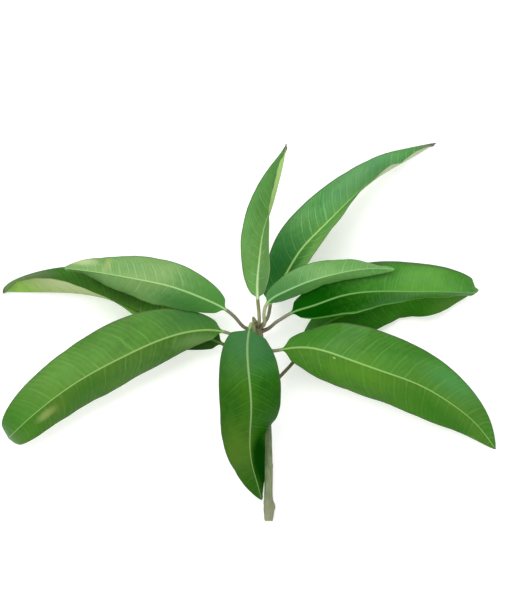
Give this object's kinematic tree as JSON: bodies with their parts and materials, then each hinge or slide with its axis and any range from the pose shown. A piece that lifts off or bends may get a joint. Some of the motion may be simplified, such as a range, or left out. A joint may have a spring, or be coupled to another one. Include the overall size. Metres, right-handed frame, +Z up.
{
  "type": "mango leaf sprig",
  "caption": "Cut mango shoot lying on a surface: a slim twig with a small end bud and a whorl of long, lance-shaped leaves that arch out on stalks and touch down at their tips.",
  "frame": {"origin": "on the surface that the shoot lies on, under the whorl of leaves, at the middle of the whole shoot", "axes": "+Y runs along the twig from its cut end towards its bud, +X is to the right seen from above, +Z is up from the surface"},
  "size_m": [0.4049, 0.31, 0.0777],
  "materials": {
    "bark": "matte",
    "bud_scales": "matte",
    "leaf_dark": "satin",
    "leaf_green": "satin",
    "leaf_light": "satin"
  },
  "bodies": {
    "root": {"twig": "bark", "terminal_bud": "bud_scales", "leaf_front": "leaf_dark", "leaf_lower_left": "leaf_green", "leaf_upper_left": "leaf_light", "leaf_under_left": "leaf_green", "leaf_top": "leaf_light", "leaf_top_right": "leaf_green", "leaf_right_small": "leaf_light", "leaf_right": "leaf_dark", "leaf_under_right": "leaf_dark", "leaf_lower_right": "leaf_green"}
  },
  "joints": []
}
